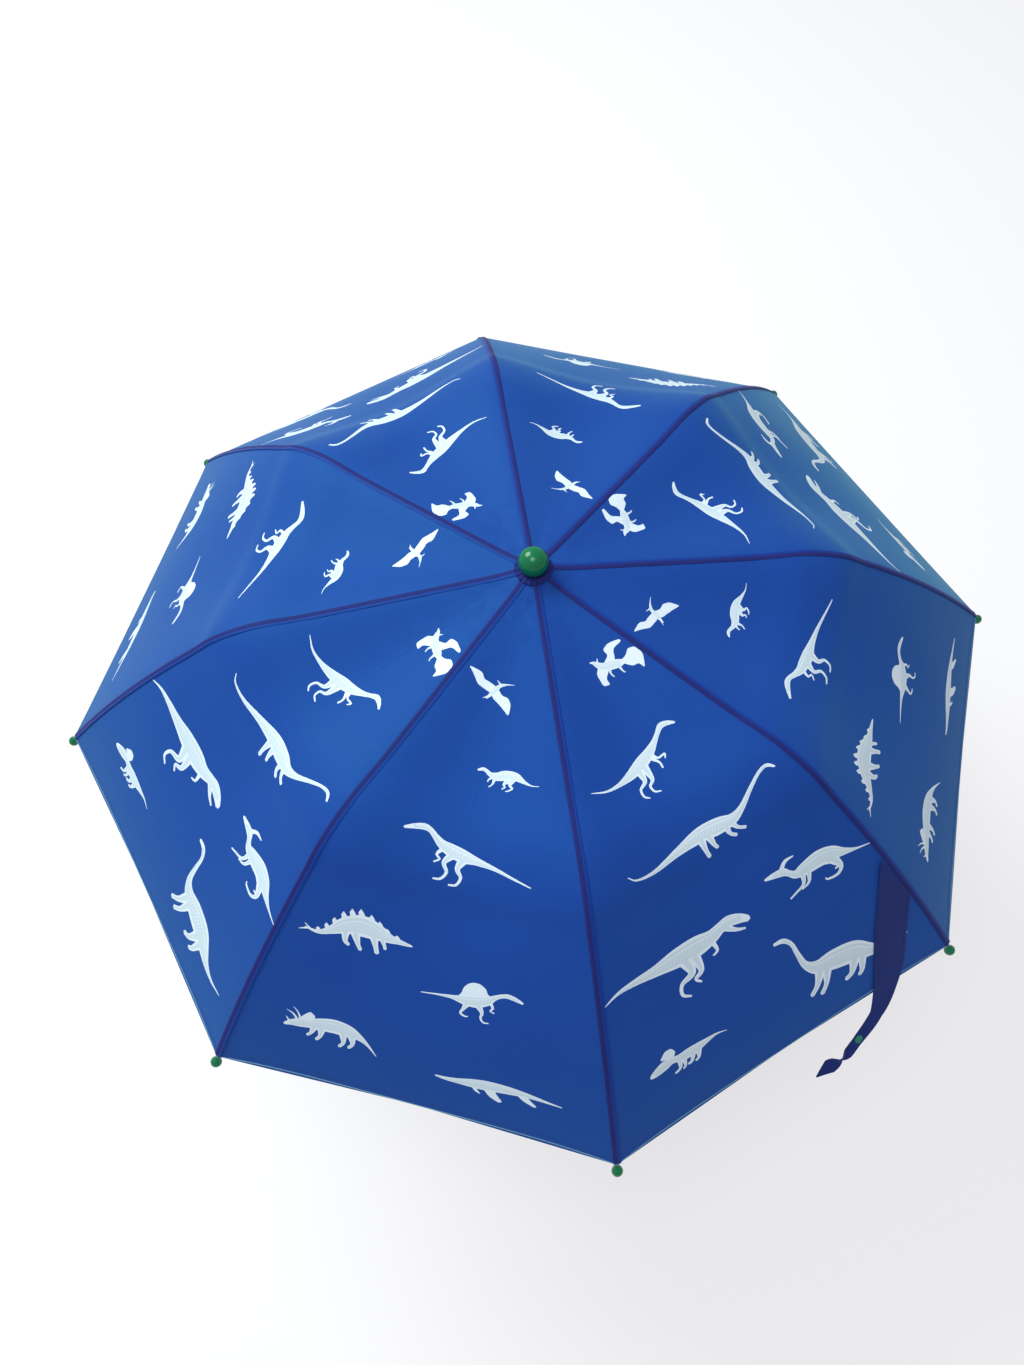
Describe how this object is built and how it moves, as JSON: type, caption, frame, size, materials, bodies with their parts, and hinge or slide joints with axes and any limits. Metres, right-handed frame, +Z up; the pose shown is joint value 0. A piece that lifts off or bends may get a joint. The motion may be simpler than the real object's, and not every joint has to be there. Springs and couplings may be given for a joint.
{
  "type": "children's folding umbrella",
  "caption": "Compact folding umbrella for a child, open, with a printed cloth canopy on jointed ribs, a telescoping shaft, a round knob and a handle with a wrist loop.",
  "frame": {"origin": "in the middle of the shaft axis inside the handle, where a hand holds it", "axes": "+Z up along the shaft from the handle to the knob; +Y points along rib 1, and the ribs are numbered anticlockwise seen from above"},
  "size_m": [0.9246, 0.9246, 0.7148],
  "materials": {
    "handle_plastic": "satin",
    "steel": "satin",
    "green_plastic": "gloss",
    "hub_plastic": "satin",
    "button_plastic": "satin",
    "cord_textile": "braided",
    "canopy_fabric": "matte",
    "navy_fabric": "matte",
    "fastener_plastic": "matte"
  },
  "bodies": {
    "handle": {"handle": "handle_plastic", "shaft_lower_tube": "steel", "wrist_cord": "cord_textile"},
    "middle_shaft": {"shaft_middle_tube": "steel"},
    "crown": {"shaft_upper_tube": "steel", "top_notch": "hub_plastic", "ferrule_knob": "green_plastic", "canopy_collar": "navy_fabric", "canopy": "canopy_fabric"},
    "runner": {"runner": "hub_plastic"},
    "button": {"runner_button": "button_plastic"},
    "main_1": {"main_rib_1": "steel"},
    "middle_1": {"middle_rib_1": "steel"},
    "outer_1": {"outer_rib_1": "steel", "rib_tip_1": "green_plastic"},
    "stretcher_1": {"stretcher_1": "steel"},
    "main_2": {"main_rib_2": "steel"},
    "middle_2": {"middle_rib_2": "steel"},
    "outer_2": {"outer_rib_2": "steel", "rib_tip_2": "green_plastic"},
    "stretcher_2": {"stretcher_2": "steel"},
    "main_3": {"main_rib_3": "steel"},
    "middle_3": {"middle_rib_3": "steel"},
    "outer_3": {"outer_rib_3": "steel", "rib_tip_3": "green_plastic"},
    "stretcher_3": {"stretcher_3": "steel"},
    "main_4": {"main_rib_4": "steel"},
    "middle_4": {"middle_rib_4": "steel"},
    "outer_4": {"outer_rib_4": "steel", "rib_tip_4": "green_plastic"},
    "stretcher_4": {"stretcher_4": "steel"},
    "main_5": {"main_rib_5": "steel"},
    "middle_5": {"middle_rib_5": "steel"},
    "outer_5": {"outer_rib_5": "steel", "rib_tip_5": "green_plastic"},
    "stretcher_5": {"stretcher_5": "steel"},
    "main_6": {"main_rib_6": "steel"},
    "middle_6": {"middle_rib_6": "steel"},
    "outer_6": {"outer_rib_6": "steel", "rib_tip_6": "green_plastic", "closing_strap": "navy_fabric", "strap_fastener": "fastener_plastic"},
    "stretcher_6": {"stretcher_6": "steel"},
    "main_7": {"main_rib_7": "steel"},
    "middle_7": {"middle_rib_7": "steel"},
    "outer_7": {"outer_rib_7": "steel", "rib_tip_7": "green_plastic"},
    "stretcher_7": {"stretcher_7": "steel"},
    "main_8": {"main_rib_8": "steel"},
    "middle_8": {"middle_rib_8": "steel"},
    "outer_8": {"outer_rib_8": "steel", "rib_tip_8": "green_plastic"},
    "stretcher_8": {"stretcher_8": "steel"}
  },
  "joints": [
    {"name": "lower_shaft_slide", "type": "slide", "parent": "handle", "child": "middle_shaft", "axis": [0, 0, -1], "range_m": [0, 0.142]},
    {"name": "upper_shaft_slide", "type": "slide", "parent": "middle_shaft", "child": "crown", "axis": [0, 0, -1], "range_m": [0, 0.1585]},
    {"name": "canopy_fold", "type": "slide", "parent": "crown", "child": "runner", "axis": [0, 0, -1], "range_m": [0, 0.10857], "deforming": ["canopy"]},
    {"name": "button_press", "type": "slide", "parent": "runner", "child": "button", "axis": [-0.9239, -0.3827, 0], "range_m": [0, 0.0017], "stiffness_N_per_m": 1500, "springref_m": -0.0005},
    {"name": "main_hinge_1", "type": "hinge", "parent": "crown", "child": "main_1", "pos_m": [0, 0.011, 0.54], "axis": [-1, 0, 0], "range_deg": [0, 81.01]},
    {"name": "middle_hinge_1", "type": "hinge", "parent": "main_1", "child": "middle_1", "pos_m": [0, 0.15484, 0.5216], "axis": [1, 0, 0], "range_deg": [0, 179.01]},
    {"name": "outer_hinge_1", "type": "hinge", "parent": "middle_1", "child": "outer_1", "pos_m": [0, 0.27716, 0.49525], "axis": [-1, 0, 0], "range_deg": [0, 149.41]},
    {"name": "stretcher_hinge_1", "type": "hinge", "parent": "runner", "child": "stretcher_1", "pos_m": [0, 0.01, 0.48857], "axis": [1, 0, 0], "range_deg": [0, 61.34]},
    {"name": "main_hinge_2", "type": "hinge", "parent": "crown", "child": "main_2", "pos_m": [-0.00778, 0.00778, 0.54], "axis": [-0.7071, -0.7071, 0], "range_deg": [0, 81.01]},
    {"name": "middle_hinge_2", "type": "hinge", "parent": "main_2", "child": "middle_2", "pos_m": [-0.10949, 0.10949, 0.5216], "axis": [0.7071, 0.7071, 0], "range_deg": [0, 179.01]},
    {"name": "outer_hinge_2", "type": "hinge", "parent": "middle_2", "child": "outer_2", "pos_m": [-0.19598, 0.19598, 0.49525], "axis": [-0.7071, -0.7071, 0], "range_deg": [0, 149.41]},
    {"name": "stretcher_hinge_2", "type": "hinge", "parent": "runner", "child": "stretcher_2", "pos_m": [-0.00707, 0.00707, 0.48857], "axis": [0.7071, 0.7071, 0], "range_deg": [0, 61.34]},
    {"name": "main_hinge_3", "type": "hinge", "parent": "crown", "child": "main_3", "pos_m": [-0.011, 0, 0.54], "axis": [0, -1, 0], "range_deg": [0, 81.01]},
    {"name": "middle_hinge_3", "type": "hinge", "parent": "main_3", "child": "middle_3", "pos_m": [-0.15484, 0, 0.5216], "axis": [0, 1, 0], "range_deg": [0, 179.01]},
    {"name": "outer_hinge_3", "type": "hinge", "parent": "middle_3", "child": "outer_3", "pos_m": [-0.27716, 0, 0.49525], "axis": [0, -1, 0], "range_deg": [0, 149.41]},
    {"name": "stretcher_hinge_3", "type": "hinge", "parent": "runner", "child": "stretcher_3", "pos_m": [-0.01, 0, 0.48857], "axis": [0, 1, 0], "range_deg": [0, 61.34]},
    {"name": "main_hinge_4", "type": "hinge", "parent": "crown", "child": "main_4", "pos_m": [-0.00778, -0.00778, 0.54], "axis": [0.7071, -0.7071, 0], "range_deg": [0, 81.01]},
    {"name": "middle_hinge_4", "type": "hinge", "parent": "main_4", "child": "middle_4", "pos_m": [-0.10949, -0.10949, 0.5216], "axis": [-0.7071, 0.7071, 0], "range_deg": [0, 179.01]},
    {"name": "outer_hinge_4", "type": "hinge", "parent": "middle_4", "child": "outer_4", "pos_m": [-0.19598, -0.19598, 0.49525], "axis": [0.7071, -0.7071, 0], "range_deg": [0, 149.41]},
    {"name": "stretcher_hinge_4", "type": "hinge", "parent": "runner", "child": "stretcher_4", "pos_m": [-0.00707, -0.00707, 0.48857], "axis": [-0.7071, 0.7071, 0], "range_deg": [0, 61.34]},
    {"name": "main_hinge_5", "type": "hinge", "parent": "crown", "child": "main_5", "pos_m": [0, -0.011, 0.54], "axis": [1, 0, 0], "range_deg": [0, 81.01]},
    {"name": "middle_hinge_5", "type": "hinge", "parent": "main_5", "child": "middle_5", "pos_m": [0, -0.15484, 0.5216], "axis": [-1, 0, 0], "range_deg": [0, 179.01]},
    {"name": "outer_hinge_5", "type": "hinge", "parent": "middle_5", "child": "outer_5", "pos_m": [0, -0.27716, 0.49525], "axis": [1, 0, 0], "range_deg": [0, 149.41]},
    {"name": "stretcher_hinge_5", "type": "hinge", "parent": "runner", "child": "stretcher_5", "pos_m": [0, -0.01, 0.48857], "axis": [-1, 0, 0], "range_deg": [0, 61.34]},
    {"name": "main_hinge_6", "type": "hinge", "parent": "crown", "child": "main_6", "pos_m": [0.00778, -0.00778, 0.54], "axis": [0.7071, 0.7071, 0], "range_deg": [0, 81.01]},
    {"name": "middle_hinge_6", "type": "hinge", "parent": "main_6", "child": "middle_6", "pos_m": [0.10949, -0.10949, 0.5216], "axis": [-0.7071, -0.7071, 0], "range_deg": [0, 179.01]},
    {"name": "outer_hinge_6", "type": "hinge", "parent": "middle_6", "child": "outer_6", "pos_m": [0.19598, -0.19598, 0.49525], "axis": [0.7071, 0.7071, 0], "range_deg": [0, 149.41]},
    {"name": "stretcher_hinge_6", "type": "hinge", "parent": "runner", "child": "stretcher_6", "pos_m": [0.00707, -0.00707, 0.48857], "axis": [-0.7071, -0.7071, 0], "range_deg": [0, 61.34]},
    {"name": "main_hinge_7", "type": "hinge", "parent": "crown", "child": "main_7", "pos_m": [0.011, 0, 0.54], "axis": [0, 1, 0], "range_deg": [0, 81.01]},
    {"name": "middle_hinge_7", "type": "hinge", "parent": "main_7", "child": "middle_7", "pos_m": [0.15484, 0, 0.5216], "axis": [0, -1, 0], "range_deg": [0, 179.01]},
    {"name": "outer_hinge_7", "type": "hinge", "parent": "middle_7", "child": "outer_7", "pos_m": [0.27716, 0, 0.49525], "axis": [0, 1, 0], "range_deg": [0, 149.41]},
    {"name": "stretcher_hinge_7", "type": "hinge", "parent": "runner", "child": "stretcher_7", "pos_m": [0.01, 0, 0.48857], "axis": [0, -1, 0], "range_deg": [0, 61.34]},
    {"name": "main_hinge_8", "type": "hinge", "parent": "crown", "child": "main_8", "pos_m": [0.00778, 0.00778, 0.54], "axis": [-0.7071, 0.7071, 0], "range_deg": [0, 81.01]},
    {"name": "middle_hinge_8", "type": "hinge", "parent": "main_8", "child": "middle_8", "pos_m": [0.10949, 0.10949, 0.5216], "axis": [0.7071, -0.7071, 0], "range_deg": [0, 179.01]},
    {"name": "outer_hinge_8", "type": "hinge", "parent": "middle_8", "child": "outer_8", "pos_m": [0.19598, 0.19598, 0.49525], "axis": [-0.7071, 0.7071, 0], "range_deg": [0, 149.41]},
    {"name": "stretcher_hinge_8", "type": "hinge", "parent": "runner", "child": "stretcher_8", "pos_m": [0.00707, 0.00707, 0.48857], "axis": [0.7071, -0.7071, 0], "range_deg": [0, 61.34]}
  ],
  "couplings": [
    {"joint": "main_hinge_1", "follows": "canopy_fold", "rad_per_m": 13.021},
    {"joint": "middle_hinge_1", "follows": "canopy_fold", "rad_per_m": 28.775},
    {"joint": "outer_hinge_1", "follows": "canopy_fold", "rad_per_m": 24.017},
    {"joint": "stretcher_hinge_1", "follows": "canopy_fold", "rad_per_m": 9.8589},
    {"joint": "main_hinge_2", "follows": "canopy_fold", "rad_per_m": 13.021},
    {"joint": "middle_hinge_2", "follows": "canopy_fold", "rad_per_m": 28.775},
    {"joint": "outer_hinge_2", "follows": "canopy_fold", "rad_per_m": 24.017},
    {"joint": "stretcher_hinge_2", "follows": "canopy_fold", "rad_per_m": 9.8589},
    {"joint": "main_hinge_3", "follows": "canopy_fold", "rad_per_m": 13.021},
    {"joint": "middle_hinge_3", "follows": "canopy_fold", "rad_per_m": 28.775},
    {"joint": "outer_hinge_3", "follows": "canopy_fold", "rad_per_m": 24.017},
    {"joint": "stretcher_hinge_3", "follows": "canopy_fold", "rad_per_m": 9.8589},
    {"joint": "main_hinge_4", "follows": "canopy_fold", "rad_per_m": 13.021},
    {"joint": "middle_hinge_4", "follows": "canopy_fold", "rad_per_m": 28.775},
    {"joint": "outer_hinge_4", "follows": "canopy_fold", "rad_per_m": 24.017},
    {"joint": "stretcher_hinge_4", "follows": "canopy_fold", "rad_per_m": 9.8589},
    {"joint": "main_hinge_5", "follows": "canopy_fold", "rad_per_m": 13.021},
    {"joint": "middle_hinge_5", "follows": "canopy_fold", "rad_per_m": 28.775},
    {"joint": "outer_hinge_5", "follows": "canopy_fold", "rad_per_m": 24.017},
    {"joint": "stretcher_hinge_5", "follows": "canopy_fold", "rad_per_m": 9.8589},
    {"joint": "main_hinge_6", "follows": "canopy_fold", "rad_per_m": 13.021},
    {"joint": "middle_hinge_6", "follows": "canopy_fold", "rad_per_m": 28.775},
    {"joint": "outer_hinge_6", "follows": "canopy_fold", "rad_per_m": 24.017},
    {"joint": "stretcher_hinge_6", "follows": "canopy_fold", "rad_per_m": 9.8589},
    {"joint": "main_hinge_7", "follows": "canopy_fold", "rad_per_m": 13.021},
    {"joint": "middle_hinge_7", "follows": "canopy_fold", "rad_per_m": 28.775},
    {"joint": "outer_hinge_7", "follows": "canopy_fold", "rad_per_m": 24.017},
    {"joint": "stretcher_hinge_7", "follows": "canopy_fold", "rad_per_m": 9.8589},
    {"joint": "main_hinge_8", "follows": "canopy_fold", "rad_per_m": 13.021},
    {"joint": "middle_hinge_8", "follows": "canopy_fold", "rad_per_m": 28.775},
    {"joint": "outer_hinge_8", "follows": "canopy_fold", "rad_per_m": 24.017},
    {"joint": "stretcher_hinge_8", "follows": "canopy_fold", "rad_per_m": 9.8589}
  ]
}
